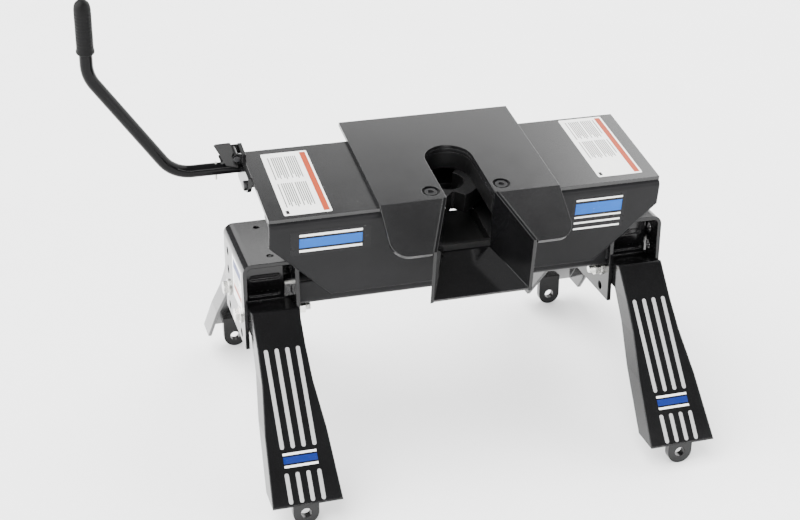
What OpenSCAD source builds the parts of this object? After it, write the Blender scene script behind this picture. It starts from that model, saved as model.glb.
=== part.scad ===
// Fifth wheel hitch: two legs a side on a bolted bracket, a pivoting head and sliding-bar jaws.
// X is right, Y is forward (towards the cab), Z is up. Z = 0 is the foot of the four rail tabs.

/* [Rails] */
// Front to back distance between the rail pin holes
rail_spacing = 558.8; // [540:0.1:580]
// Left to right distance between the rail pin holes
tab_span = 587.6; // [560:0.1:620]
// Height of the rail pin holes above the foot
tab_hole_z = 19; // [15:0.5:25]
// Radius of the rail pin holes
tab_hole_r = 8; // [6:0.1:9]
// Width of a rail tab
tab_w = 38.6; // [34:0.1:44]
// Thickness of a rail tab
tab_t = 12; // [8:0.5:14]

/* [Legs] */
// Centre of a leg from the middle of the hitch
leg_x = 292.5; // [285:0.1:300]
// Sheet thickness of a leg
leg_t = 5; // [4:0.5:6]
// Half width of a leg at its foot
leg_foot_w = 51.8; // [46:0.1:56]
// Half width of a leg at its top
leg_top_w = 36; // [34:0.1:36.2]
// Slope of a leg above level, in degrees
leg_slope = 48.1; // [46:0.1:50]
// Depth of the leg flanges
leg_flange = 35; // [28:1:42]
// Face of a leg's upright panel, from the middle plane
panel_y = 41; // [40:0.5:42]

/* [Brackets] */
// Outer face of a side bracket
bracket_out = 335; // [332:0.5:340]
// Inner face of a side bracket
bracket_in = 250; // [247:0.5:253]
// Top of a side bracket
bracket_top = 323; // [318:0.5:330]
// Bottom of a side bracket
bracket_bottom = 184.6; // [180:0.1:190]
// Half depth of a side bracket
bracket_y = 79; // [74:0.5:80]
// Plate thickness of a side bracket
bracket_t = 6; // [5:0.5:7]
// Height of the lowest row of adjusting holes
row_z = 198; // [196:0.5:200]
// Distance between the rows of adjusting holes
row_pitch = 31; // [29:0.5:32]
// Distance of the hole columns from the middle
column_y = 48; // [44:0.5:52]

/* [Cross member] */
// Underside of the cross member
beam_z = 240; // [239:0.5:242]
// Height of the cross member sides
beam_h = 40; // [34:1:42]
// Half depth of the cross member
beam_y = 68; // [64:0.5:70]
// Height of the pitch pivot
pivot_z = 268; // [267:0.1:269]
// Radius of the pitch pin and of the roll pin
pivot_r = 12.7; // [12:0.1:13]

/* [Head] */
// Tilt of the head when it rests on its stop, in degrees
head_tilt = 9.35; // [8:0.05:10]
// Half width of the head
head_x = 302; // [296:0.5:308]
// Half depth of the top plate
head_y = 97.8; // [95:0.1:98]
// Thickness of the top plate and of the skid plate
plate_t = 6; // [5:0.5:6]
// Half width of the skid plate
skid_x = 138.8; // [134:0.1:142]
// Front end of the skid plate
skid_y = 146.7; // [140:0.1:150]
// Half width of the throat
throat_r = 37.2; // [36.9:0.1:38]
// Kingpin centre, forward of the middle of the top plate
kingpin_y = 9.75; // [8:0.05:11]
// Height of the roll pin below the top plate
roll_drop = 120; // [118:0.5:122]
// Angle of the wings below the skid plate, in degrees
wing_angle = 26; // [24:0.5:28]
// Length of a wing down its slope
wing_len = 88; // [84:0.5:92]

/* [Jaws] */
// Radius of the closed jaws, fits a 50.8 mm kingpin neck
jaw_r = 25.7; // [25.5:0.1:26]
// Distance of the jaw pins from the middle
jaw_pin_x = 70; // [69:0.1:71]
// Jaw pin, forward of the middle of the top plate
jaw_pin_y = 25; // [24:0.1:26]
// Radius of a jaw pin
jaw_pin_r = 9.5; // [9:0.1:10]
// Distance from a jaw pin to its drive peg
drive_arm = 50; // [49:0.1:51]

/* [Handle] */
// Radius of the pull rod
rod_r = 9.5; // [7:0.1:9.6]
// Pull rod, forward of the middle of the top plate
rod_y0 = 84; // [83:0.5:85]
// Pull rod below the top plate
rod_drop = 16; // [15.5:0.1:17]

/* [Hidden] */
$fn = 64;
tau = head_tilt;
piv_y = 3.1;
piv_z = -162.8;
rod_z0 = -rod_drop;
roll_z = -roll_drop;
tie_x = 54.8;
tie_y = -76.3;
jaw_top = -35.3;
jaw_bottom = -66.7;
bar_top = -67;
bar_bottom = -75;
low_top = -75.5;
low_bottom = -87.5;
yoke_bottom = -35;
// Back face of the latch flag's thumb plate
thumb_y = 73.2;
// Outer surface of a leg in Y and Z
foot_y = -294.5;
foot_z = 39;
cs = cos(leg_slope);
ss = sin(leg_slope);
// Top of the sloping web, where the leg turns in to its upright
knee_y = -101;
knee_z = foot_z + (knee_y - foot_y) * ss / cs;
bolt_z = row_z + row_pitch;

// Part to show

// ---------- helpers ----------

module box(x0, x1, y0, y1, z0, z1) {
  translate([x0, y0, z0]) cube([x1 - x0, y1 - y0, z1 - z0]);
}

module round_x(x0, x1, y, z, r) {
  translate([x0, y, z]) rotate([0, 90, 0]) cylinder(h = x1 - x0, r = r);
}

module round_y(y0, y1, x, z, r) {
  translate([x, y1, z]) rotate([90, 0, 0]) cylinder(h = y1 - y0, r = r);
}

module round_z(z0, z1, x, y, r) {
  translate([x, y, z0]) cylinder(h = z1 - z0, r = r);
}

// Outline in Y and Z, drawn out along X
module along_x(x0, x1, pts) {
  translate([x0, 0, 0]) rotate([90, 0, 90]) linear_extrude(height = x1 - x0) polygon(pts);
}

// Outline in X and Z, drawn out along Y
module along_y(y0, y1, pts) {
  translate([0, y1, 0]) rotate([90, 0, 0]) linear_extrude(height = y1 - y0) polygon(pts);
}

// Outline in X and Y, drawn out along Z
module along_z(z0, z1, pts) {
  translate([0, 0, z0]) linear_extrude(height = z1 - z0) polygon(pts);
}

module hex_x(x0, x1, y, z, flats) {
  translate([x0, y, z]) rotate([0, 90, 0]) cylinder(h = x1 - x0, r = flats / 2 / cos(30), $fn = 6);
}

module hex_z(z0, z1, x, y, flats) {
  translate([x, y, z0]) cylinder(h = z1 - z0, r = flats / 2 / cos(30), $fn = 6);
}

module left() {
  mirror([1, 0, 0]) children();
}

module rear() {
  mirror([0, 1, 0]) children();
}

module both_sides() {
  children();
  left() children();
}

module both_ends() {
  children();
  rear() children();
}

// From the middle of the top plate to the hitch
module on_head() {
  translate([0, 0, pivot_z]) rotate([tau, 0, 0]) translate([0, -piv_y, -piv_z]) children();
}

// ---------- base ----------

// Inverted channel with rounded shoulders, right side
module bracket() {
  r = 15;
  difference() {
    union() {
      box(bracket_out - bracket_t, bracket_out, -bracket_y, bracket_y, bracket_bottom,
          bracket_top - r);
      box(bracket_in, bracket_in + bracket_t, -bracket_y, bracket_y, bracket_bottom,
          bracket_top - r);
      box(bracket_in + r, bracket_out - r, -bracket_y, bracket_y, bracket_top - bracket_t,
          bracket_top);
      shoulder(bracket_out - r, 0);
      shoulder(bracket_in + r, -r);
    }
    for (i = [0:3]) {
      round_x(bracket_in - 1, bracket_out + 1, column_y, row_z + i * row_pitch, 7);
      round_x(bracket_in - 1, bracket_out + 1, -column_y, row_z + i * row_pitch, 7);
    }
    round_z(bracket_top - 10, bracket_top + 1, 288, 53, 5);
    round_z(bracket_top - 10, bracket_top + 1, 288, -53, 5);
  }
}

module shoulder(x, dx) {
  r = 15;
  intersection() {
    difference() {
      round_y(-bracket_y, bracket_y, x, bracket_top - r, r);
      round_y(-bracket_y - 1, bracket_y + 1, x, bracket_top - r, r - bracket_t);
    }
    box(x + dx, x + dx + r, -bracket_y, bracket_y, bracket_top - r, bracket_top);
  }
}

module left_bracket() {
  color([0.03, 0.03, 0.035]) left() bracket();
}

module right_bracket() {
  color([0.03, 0.03, 0.035]) bracket();
}

// Front outline of a leg, d is how far it is inset
function leg_outline(d) = [
  [leg_x - leg_foot_w + d, foot_z - d], [leg_x + leg_foot_w - d, foot_z - d],
  [leg_x + 46 - d, 118], [leg_x + 38 - d, 172], [leg_x + leg_top_w - d, 212],
  [leg_x + leg_top_w - d, 305], [leg_x + leg_top_w - 9 - d, 316 + d],
  [leg_x - leg_top_w + 9 + d, 316 + d], [leg_x - leg_top_w + d, 305],
  [leg_x - leg_top_w + d, 212], [leg_x - 38 + d, 172], [leg_x - 46 + d, 118]
];

// Height of the outer leg surface at y, set in by d
function leg_line(y, d) = foot_z + (y - foot_y) * ss / cs - d / cs;

module leg_shell() {
  difference() {
    intersection() {
      along_x(200, 400, [
        [foot_y, foot_z], [knee_y - 2, leg_line(knee_y - 2, 0)], [knee_y + 1.4, knee_z + 0.4],
        [-panel_y, 243.6], [-panel_y, 316], [-panel_y + leg_t, 316], [-panel_y + leg_t, 242.5],
        [-30, 241.3], [-30, 213], [-91, 213], [foot_y + leg_flange / ss, foot_z]
      ]);
      along_y(-320, -20, leg_outline(0));
    }
    intersection() {
      along_x(200, 400, [
        [foot_y - 12, leg_line(foot_y - 12, leg_t)], [knee_y + 1.8, knee_z - leg_t + 0.4],
        [0, 230.4], [0, 0], [foot_y - 12, 0]
      ]);
      along_y(-330, 10, leg_outline(leg_t));
    }
  }
}

// Right front leg: a tapered channel with its open side inwards
module leg() {
  difference() {
    leg_shell();
    round_x(200, 400, -column_y, bolt_z, 6.8);
    box(240, 266, -panel_y - 4, -20, 244.6, 330);
    box(326, 345, -panel_y - 4, -20, 244.6, 330);
    press(282.2, 313);
    press(255.5, 317);
  }
}

// Pressed groove across the upright of a leg, from near its inner edge to x1
module press(z, x1) {
  box(276, x1, -panel_y - 1, -panel_y + 2.4, z - 4, z + 4);
  round_y(-panel_y - 1, -panel_y + 2.4, 276, z, 4);
  round_y(-panel_y - 1, -panel_y + 2.4, x1, z, 4);
}

module right_front_leg() {
  color([0.03, 0.03, 0.035]) leg();
}

module right_rear_leg() {
  color([0.03, 0.03, 0.035]) rear() leg();
}

module left_front_leg() {
  color([0.03, 0.03, 0.035]) left() leg();
}

module left_rear_leg() {
  color([0.03, 0.03, 0.035]) left() rear() leg();
}

module tab() {
  x = tab_span / 2;
  y0 = -rail_spacing / 2 - tab_t / 2;
  difference() {
    union() {
      round_y(y0, y0 + tab_t, x, tab_w / 2, tab_w / 2);
      box(x - tab_w / 2, x + tab_w / 2, y0, y0 + tab_t, tab_w / 2, 70);
    }
    round_y(y0 - 1, y0 + tab_t + 1, x, tab_hole_z, tab_hole_r);
    along_x(x - 40, x + 40, [
      [-310, leg_line(-310, leg_t)], [-260, leg_line(-260, leg_t)], [-260, 120], [-310, 120]
    ]);
  }
}

module front_rail_tabs() {
  color([0.03, 0.03, 0.035]) both_sides() tab();
}

module rear_rail_tabs() {
  color([0.03, 0.03, 0.035]) both_sides() rear() tab();
}

// Channel with its open side up, between the brackets
module cross_member() {
  color([0.1, 0.1, 0.11]) {
    box(-bracket_in, bracket_in, -beam_y, -beam_y + 6, beam_z + 12, beam_z + beam_h);
    box(-bracket_in, bracket_in, beam_y - 6, beam_y, beam_z + 12, beam_z + beam_h);
    box(-bracket_in, bracket_in, -beam_y + 12, beam_y - 12, beam_z, beam_z + 6);
    both_ends() intersection() {
      difference() {
        round_x(-bracket_in, bracket_in, -beam_y + 12, beam_z + 12, 12);
        round_x(-bracket_in - 1, bracket_in + 1, -beam_y + 12, beam_z + 12, 6);
      }
      box(-bracket_in, bracket_in, -beam_y, -beam_y + 12, beam_z, beam_z + 12);
    }
  }
}

// Two stands welded in the cross member carry the pitch pin
module pivot_ears() {
  color([0.1, 0.1, 0.11]) both_sides() difference() {
    union() {
      along_x(112, 124, [
        [-50, beam_z + 6], [50, beam_z + 6], [50, beam_z + 12], [19, pivot_z + 10],
        [-19, pivot_z + 10], [-50, beam_z + 12]
      ]);
      round_x(112, 124, 0, pivot_z, 22);
    }
    round_x(111, 125, 0, pivot_z, pivot_r + 0.05);
  }
}

module pitch_pin() {
  color([0.55, 0.55, 0.57]) difference() {
    round_x(-136, 136, 0, pivot_z, pivot_r);
    both_sides() round_z(pivot_z - 20, pivot_z + 20, 130.5, 0, 2.2);
  }
}

module pitch_pin_clips() {
  color([0.75, 0.75, 0.72]) both_sides() {
    difference() {
      round_x(124, 127, 0, pivot_z, 20);
      round_x(123, 128, 0, pivot_z, pivot_r);
    }
    round_z(pivot_z - 17, pivot_z + 14, 130.5, 0, 2.2);
    translate([130.5, 0, pivot_z + 18]) rotate([90, 0, 0]) rotate_extrude()
      translate([4.4, 0]) circle(r = 1.7);
  }
}

// Rubber stops under the rocker, front pair sets the resting tilt
module pitch_bumpers() {
  color([0.07, 0.07, 0.07]) both_ends() both_sides() difference() {
    on_head() round_z(-200, -155.3, 24, piv_y - 48, 11);
    box(-60, 60, -120, 60, 180, beam_z + 6);
  }
}

// Through bolts of one bracket, right side
module leg_bolts() {
  color([0.74, 0.74, 0.7]) both_sides() both_ends() {
    hex_x(337.5, 345.5, -column_y, bolt_z, 19);
    round_x(228, 337.5, -column_y, bolt_z, 6.35);
  }
}

module leg_nuts() {
  color([0.74, 0.74, 0.7]) both_sides() both_ends() difference() {
    hex_x(236.5, 247.5, -column_y, bolt_z, 19);
    round_x(230, 250, -column_y, bolt_z, 6.35);
  }
}

module leg_washers() {
  color([0.78, 0.78, 0.74]) both_sides() both_ends() difference() {
    union() {
      round_x(335, 337.5, -column_y, bolt_z, 13);
      round_x(247.5, 250, -column_y, bolt_z, 10.8);
    }
    round_x(230, 340, -column_y, bolt_z, 6.35);
  }
}

// ---------- rocker, tips with the pitch joint ----------

module rocker() {
  color([0.16, 0.16, 0.17]) on_head() difference() {
    union() {
      round_x(-108, 108, piv_y, piv_z, 19);
      round_y(piv_y - 62, piv_y + 62, 0, roll_z, 20);
      along_x(-16, 16, [
        [piv_y - 56, roll_z - 10], [piv_y + 56, roll_z - 10], [piv_y + 20, piv_z],
        [piv_y - 20, piv_z]
      ]);
      box(-40, 40, piv_y - 60, piv_y + 60, -155, -146);
    }
    round_x(-109, 109, piv_y, piv_z, pivot_r + 2);
    round_y(piv_y - 70, piv_y + 70, 0, roll_z, pivot_r + 2);
  }
}

// Bronze sleeves in the two bores of the rocker
module rocker_bushes() {
  color([0.6, 0.45, 0.2]) on_head() {
    both_sides() difference() {
      round_x(68, 108, piv_y, piv_z, pivot_r + 2);
      round_x(67, 109, piv_y, piv_z, pivot_r + 0.06);
    }
    bush_y(piv_y - 62);
    bush_y(piv_y + 32);
  }
}

module bush_y(y) {
  difference() {
    round_y(y, y + 30, 0, roll_z, pivot_r + 2);
    round_y(y - 1, y + 31, 0, roll_z, pivot_r + 0.06);
  }
}

// ---------- head ----------

module throat(z0, z1, r) {
  round_z(z0, z1, 0, kingpin_y, r);
  box(-r, r, -260, kingpin_y, z0, z1);
}

module tie_holes(r) {
  both_sides() round_z(-120, 20, tie_x, tie_y, r);
}

module jaw_pin_holes(r) {
  both_sides() round_z(-120, 20, jaw_pin_x, jaw_pin_y, r);
}

module top_plate() {
  color([0.035, 0.035, 0.04]) on_head() difference() {
    box(-head_x, head_x, -head_y, head_y, -plate_t, 0);
    throat(-plate_t - 1, 1, throat_r);
    tie_holes(6.7);
  }
}

// Points on the slope of a wing: x, and the distance v down from the bend
function wing_y(v) = -head_y - 0.4 - v * cos(wing_angle);

// Wing of the right side, hung from the bend
module wing() {
  r = 27;
  x1 = skid_x - 0.05;
  xi = throat_r + 7;
  xo = 73.7 + 6.6;
  // the slope runs on into the flat, cut a hair below its top
  difference() {
    translate([0, -head_y - 0.4, 0]) rotate([wing_angle, 0, 0]) {
      along_z(0, plate_t, [
        [xi, 4], [xi, 0], [xo, -wing_len], [x1 - r, -wing_len], [x1 - r, -wing_len + r],
        [x1, -wing_len + r], [x1, 4]
      ]);
      round_z(0, plate_t, x1 - r, -wing_len + r, r);
    }
    box(xi - 1, x1 + 1, -120, 0, plate_t - 0.05, 20);
  }
}

module skid_plate() {
  color([0.05, 0.05, 0.055]) on_head() {
    difference() {
      box(-skid_x, skid_x, -head_y - 0.2, skid_y, 0, plate_t);
      throat(-1, plate_t + 1, throat_r);
      tie_holes(13.5);
    }
    both_sides() wing();
  }
}

// Rounded top edge of an apron, front side
module apron_bend(x) {
  intersection() {
    difference() {
      round_x(-x, x, -95, -14, 8);
      round_x(-x - 1, x + 1, -95, -14, 3);
    }
    box(-x, x, -103, -95, -14, -6);
  }
}

module front_apron() {
  color([0.12, 0.12, 0.13]) on_head() difference() {
    union() {
      along_y(-103, -98, [
        [-head_x, -14], [head_x, -14], [head_x, -45], [209, -138], [-209, -138], [-head_x, -45]
      ]);
      apron_bend(head_x);
      box(-head_x, head_x, -95, -70, -11, -6);
    }
    box(-throat_r - 8, throat_r + 8, -110, -60, -96.4, 0);
    box(-120.3, 120.3, -92.3, -60, -20, 0);
    round_y(-110, -90, 0, roll_z, pivot_r + 0.05);
  }
}

module rear_apron() {
  color([0.12, 0.12, 0.13]) on_head() difference() {
    union() {
      along_y(98, 103, [[-240, -14], [240, -14], [240, -50], [190, -138], [-190, -138], [-240, -50]]);
      rear() apron_bend(240);
    }
    round_y(90, 110, 0, roll_z, pivot_r + 0.05);
  }
}

module head_ribs() {
  color([0.06, 0.06, 0.065]) on_head() difference() {
    union() {
      both_sides() along_x(177, 183, [
        [-98, -14.2], [-95.2, -11.2], [-70, -11.2], [-70, -6], [94.6, -6], [94.9, -14.2],
        [98, -14.2], [98, -104], [-98, -104]
      ]);
      both_sides() along_x(286, 292, [
        [-98, -14.2], [-95.2, -11.2], [-70, -11.2], [-70, -6], [60, -6], [-98, -50]
      ]);
    }
    round_x(-184, -176, rod_y0, rod_z0, rod_r + 1.5);
  }
}

// Side wall of the funnel, right side, before its ends are trimmed
module funnel_wall() {
  along_z(-140, 20, [
    [throat_r, -98.4], [73.7, -178], [73.7 + 5, -178], [throat_r + 5.4, -98.4]
  ]);
}

module funnel() {
  fy = -98.6;
  fz = -89.4;
  slope = atan((117.1 - 89.4) / (177.9 - 98.6));
  color([0.035, 0.035, 0.04]) on_head() difference() {
    union() {
      both_sides() funnel_wall();
      translate([0, fy, fz]) rotate([slope, 0, 0]) along_z(-5, 0, [
        [-35.6, 0], [35.6, 0], [75.5, -84.2], [-75.5, -84.2]
      ]);
    }
    // trimmed to the wing surface above and the floor below
    translate([0, -head_y - 0.4, 0]) rotate([wing_angle, 0, 0])
      box(-120, 120, -140, 30, plate_t, 90);
    translate([0, fy, fz]) rotate([slope, 0, 0]) box(-120, 120, -140, 30, -60, -5);
  }
}

// Floor under the jaws, hung from the lower plate
module throat_floor() {
  color([0.05, 0.05, 0.055]) on_head() {
    box(-41, 41, -92, 14, -97, -94);
    both_sides() box(37.6, 41, -92, 13, -95, low_bottom);
  }
}

module throat_strap() {
  color([0.05, 0.05, 0.055]) on_head()
    box(-throat_r, throat_r, -98, -92, -91, -79.5);
}

module upper_yoke() {
  color([0.16, 0.16, 0.17]) on_head() difference() {
    box(-120, 120, -92, 74, yoke_bottom, -plate_t);
    throat(yoke_bottom - 1, 0, throat_r);
    tie_holes(6.7);
    jaw_pin_holes(jaw_pin_r);
  }
}

module lower_jaw_plate() {
  color([0.16, 0.16, 0.17]) on_head() difference() {
    union() {
      box(-125, 125, -98, 98, low_bottom, low_top);
      both_sides() round_z(low_top, jaw_bottom - 0.3, jaw_pin_x, jaw_pin_y, 16);
    }
    throat(low_bottom - 1, low_top + 1, throat_r);
    box(96, 130, 62, 84, low_bottom - 1, low_top + 1);
    tie_holes(6.7);
    jaw_pin_holes(jaw_pin_r);
  }
}

module jaw_pins() {
  color([0.5, 0.5, 0.52]) on_head() both_sides()
    round_z(-104, -plate_t, jaw_pin_x, jaw_pin_y, jaw_pin_r);
}

module jaw_pin_nuts() {
  color([0.74, 0.74, 0.7]) on_head() difference() {
    both_sides() hex_z(-100, low_bottom, jaw_pin_x, jaw_pin_y, 28);
    jaw_pin_holes(jaw_pin_r);
  }
}

module tie_bolts() {
  color([0.3, 0.3, 0.31]) on_head() both_sides() difference() {
    union() {
      round_z(0, 4.6, tie_x, tie_y, 9.5);
      round_z(-102, 0, tie_x, tie_y, 6.35);
    }
    hex_z(2, 6, tie_x, tie_y, 9);
  }
}

module tie_nuts() {
  color([0.74, 0.74, 0.7]) on_head() difference() {
    both_sides() hex_z(-98.5, low_bottom, tie_x, tie_y, 19);
    tie_holes(6.35);
  }
}

module tie_spacers() {
  color([0.35, 0.35, 0.36]) on_head() difference() {
    both_sides() round_z(low_top, yoke_bottom, tie_x, tie_y, 10);
    tie_holes(6.7);
  }
}

module roll_pin() {
  color([0.55, 0.55, 0.57]) on_head() round_y(-108.5, 112, 0, roll_z, pivot_r);
}

module roll_washers() {
  color([0.74, 0.74, 0.7]) on_head() difference() {
    union() {
      round_y(-106.5, -103, 0, roll_z, 18);
      round_y(103, 107, 0, roll_z, 18);
    }
    round_y(-110, 112, 0, roll_z, pivot_r);
  }
}

// Rubber rings each side of the rocker bring the head level again
module roll_cushions() {
  color([0.07, 0.07, 0.07]) on_head() difference() {
    union() {
      round_y(-98, piv_y - 62.3, 0, roll_z, 19);
      round_y(piv_y + 62.3, 98, 0, roll_z, 19);
    }
    round_y(-100, 100, 0, roll_z, pivot_r);
  }
}

// Hook plate on the right rib holds the fixed end of the return spring
module spring_anchor() {
  color([0.06, 0.06, 0.065]) on_head() difference() {
    box(163, 177, 66, 80, -75, -67);
    round_z(-80, -60, 168.5, 73, 2.5);
  }
}

module guide_plate() {
  x0 = -head_x - 6;
  color([0.04, 0.04, 0.045]) on_head() difference() {
    union() {
      along_x(x0, -head_x, [
        [20, 0], [66, 0], [66, 14], [102, 14], [112, 4], [112, -30], [98, -44], [60, -44],
        [30, -30], [20, -18]
      ]);
      box(-head_x, -292, 20, 70, -12, -6);
    }
    round_x(x0 - 1, -head_x + 1, rod_y0, rod_z0, rod_r + 0.4);
    round_x(x0 - 1, -head_x + 1, 34, -20, 4);
    round_x(x0 - 1, -head_x + 1, 104, -24, 4);
  }
}

module guide_bolts() {
  x0 = -head_x - 6;
  color([0.74, 0.74, 0.7]) on_head() {
    hex_x(x0 - 5, x0, 34, -20, 13);
    round_x(x0, -head_x + 7, 34, -20, 4);
    hex_x(x0 - 5, x0, 104, -24, 13);
    round_x(x0, -head_x + 7, 104, -24, 4);
  }
}

module latch_ears() {
  color([0.04, 0.04, 0.045]) on_head() difference() {
    union() {
      ear(68);
      ear(97);
    }
    round_y(60, 110, -316, 8, 3);
  }
}

module ear(y) {
  box(-316, -308, y, y + 3, -1, 14);
  round_y(y, y + 3, -316, 8, 6);
}

module latch_pin() {
  color([0.74, 0.74, 0.7]) on_head() {
    round_y(66, 102, -316, 8, 3);
    round_y(64.5, 66, -316, 8, 4.5);
  }
}

// Flag on the pull rod: an arm that rests on the rod and an upright thumb plate beside it
module latch_flag() {
  color([0.05, 0.05, 0.055]) on_head() difference() {
    union() {
      round_y(thumb_y, 96, -316, 8, 5.5);
      along_y(thumb_y, 96, [
        [-317, 13.3], [-319.5, 3.2], [-337, -3.6], [-339, -0.8], [-336.5, 1]
      ]);
    }
    round_y(70, 98, -316, 8, 3.06);
  }
}

// Thumb plate welded to the flag's near end, in front of the rod
module latch_thumb_plate() {
  color([0.05, 0.05, 0.055]) on_head() difference() {
    along_y(71.5, thumb_y, [
      [-311.6, -12], [-331, -5.4], [-349.5, 31], [-347, 33], [-326, 33.4], [-324, 32.4]
    ]);
    round_y(70, 98, -316, 8, 3.06);
  }
}

// ---------- jaws ----------

// Left jaw: a claw round the kingpin, an ear for the drive peg and a pivot eye
module jaw_body(ear_dy) {
  px = -jaw_pin_x;
  py = jaw_pin_y;
  difference() {
    union() {
      intersection() {
        round_z(jaw_bottom, jaw_top, 0, kingpin_y, 47);
        along_z(jaw_bottom, jaw_top, [
          [-0.3, kingpin_y - 20], [-0.3, -60], [-80, -60], [-80, 60], [-40, 60], [0, kingpin_y + 3]
        ]);
      }
      round_z(jaw_bottom, jaw_top, px, py, 20);
      round_z(jaw_bottom, jaw_top, px, py + ear_dy, 13);
      along_z(jaw_bottom, jaw_top, [
        [px - 13, py + ear_dy], [px - 19.5, py], [px + 19.5, py], [px + 13, py + ear_dy]
      ]);
      along_z(jaw_bottom, jaw_top, [[px, py - 20], [px, py + 20], [-28, 44], [-30, -24]]);
    }
    round_z(jaw_bottom - 1, jaw_top + 1, 0, kingpin_y, jaw_r);
    round_z(jaw_bottom - 1, jaw_top + 1, px, py, jaw_pin_r + 0.05);
    // lead-in for the kingpin
    along_z(jaw_bottom - 1, jaw_top + 1, [[1, -24], [-2, -22], [-32, -52], [1, -52]]);
  }
  round_z(bar_bottom + 0.2, jaw_bottom, px, py + ear_dy, 6);
}

module left_jaw() {
  color([0.3, 0.3, 0.31]) on_head() jaw_body(-drive_arm);
}

module right_jaw() {
  color([0.3, 0.3, 0.31]) on_head() left() jaw_body(drive_arm);
}

// ---------- handle and lock bar ----------

module drive_slot(x, y) {
  round_z(bar_bottom - 1, bar_top + 1, x, y - 5, 7);
  round_z(bar_bottom - 1, bar_top + 1, x, y + 5, 7);
  box(x - 7, x + 7, y - 5, y + 5, bar_bottom - 1, bar_top + 1);
}

module lock_bar() {
  color([0.45, 0.45, 0.47]) on_head() difference() {
    union() {
      box(-121, 92, 51, 93, bar_bottom, bar_top);
      box(-121, -93, -38, 51, bar_bottom, bar_top);
      box(-121, -55, -38, -3, bar_bottom, bar_top);
      box(92, 100, 66, 80, bar_bottom, bar_top);
    }
    drive_slot(-jaw_pin_x, -20.5);
    drive_slot(jaw_pin_x, 70.5);
    round_z(bar_bottom - 1, bar_top + 1, 95.5, 73, 2.5);
  }
}

module rod_link() {
  color([0.4, 0.4, 0.42]) on_head() box(-137, -121, 74.5, 93, bar_bottom, -7);
}

// Vertex of the two bends of the pull rod, X and Z
v1x = -409;
v2x = -525;
v2z = 159.4;
lean = atan2(v2z - rod_z0, v1x - v2x);
module pull_rod() {
  r1 = 52;
  r2 = 60;
  t1 = r1 * tan(lean / 2);
  t2 = r2 * tan((90 - lean) / 2);
  color([0.03, 0.03, 0.035]) on_head() {
    round_x(v1x + t1 - 1.5, -137, rod_y0, rod_z0, rod_r);
    translate([v1x + t1, rod_y0, rod_z0 + r1]) rotate([90, lean - 270, 0])
      bend(r1, lean);
    slant(t1, t2);
    translate([v2x + r2, rod_y0, v2z + t2]) rotate([90, 180, 0]) bend(r2, 90 - lean);
    round_z(v2z + t2 - 1.5, 270, v2x, rod_y0, rod_r);
  }
}

// A bend takes in the ends of the straight runs, so it's a hair thicker
module bend(r, a) {
  rotate([0, 0, -2]) rotate_extrude(angle = a + 4) translate([r, 0]) circle(r = rod_r + 0.15);
}

// Straight run between the bends
module slant(t1, t2) {
  dx = v2x - v1x;
  dz = v2z - rod_z0;
  len = sqrt(dx * dx + dz * dz);
  translate([v1x, rod_y0, rod_z0]) rotate([0, lean - 90, 0]) translate([0, 0, t1 - 1.5])
    cylinder(h = len - t1 - t2 + 3, r = rod_r);
}

module rod_cotter() {
  color([0.74, 0.74, 0.7]) on_head() {
    round_z(-34, rod_z0 - rod_r, -345, rod_y0, 2);
    round_z(rod_z0 + rod_r, -4.5, -345, rod_y0, 2);
  }
}

// Rubber grip with a domed end and a rim
module handle_grip() {
  color([0.13, 0.13, 0.14]) on_head() translate([v2x, rod_y0, 0]) difference() {
    rotate_extrude() polygon([
      [0, 196], [12.9, 196], [13.2, 199], [12.2, 203], [12.2, 262], [11.4, 268], [9.2, 273],
      [5.4, 276.2], [0, 277.4]
    ]);
    translate([0, 0, 190]) cylinder(h = 80, r = rod_r);
  }
}

// Open coil from the lock bar to the hook plate on the rib
module return_spring() {
  color([0.6, 0.6, 0.6]) on_head() {
    for (i = [0:13]) {
      translate([101.6 + i * 4.6, 73, -71]) rotate([0, 90, 0]) rotate_extrude()
        translate([6.2, 0]) circle(r = 1.3, $fn = 20);
    }
  }
}

// ---------- parts ----------

left_bracket();
right_bracket();
left_front_leg();
left_rear_leg();
right_front_leg();
right_rear_leg();
front_rail_tabs();
rear_rail_tabs();
cross_member();
pivot_ears();
pitch_pin();
pitch_pin_clips();
pitch_bumpers();
leg_bolts();
leg_nuts();
leg_washers();
rocker();
rocker_bushes();
top_plate();
skid_plate();
front_apron();
rear_apron();
head_ribs();
funnel();
throat_strap();
throat_floor();
upper_yoke();
lower_jaw_plate();
jaw_pins();
jaw_pin_nuts();
tie_bolts();
tie_nuts();
tie_spacers();
roll_pin();
roll_washers();
roll_cushions();
spring_anchor();
guide_plate();
guide_bolts();
latch_ears();
latch_pin();
latch_flag();
latch_thumb_plate();
left_jaw();
right_jaw();
lock_bar();
rod_link();
pull_rod();
rod_cotter();
handle_grip();
return_spring();
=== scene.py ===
"""Looks of the fifth wheel hitch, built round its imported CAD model."""

import math

import bmesh
import bpy
from mathutils import Matrix, Vector


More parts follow.
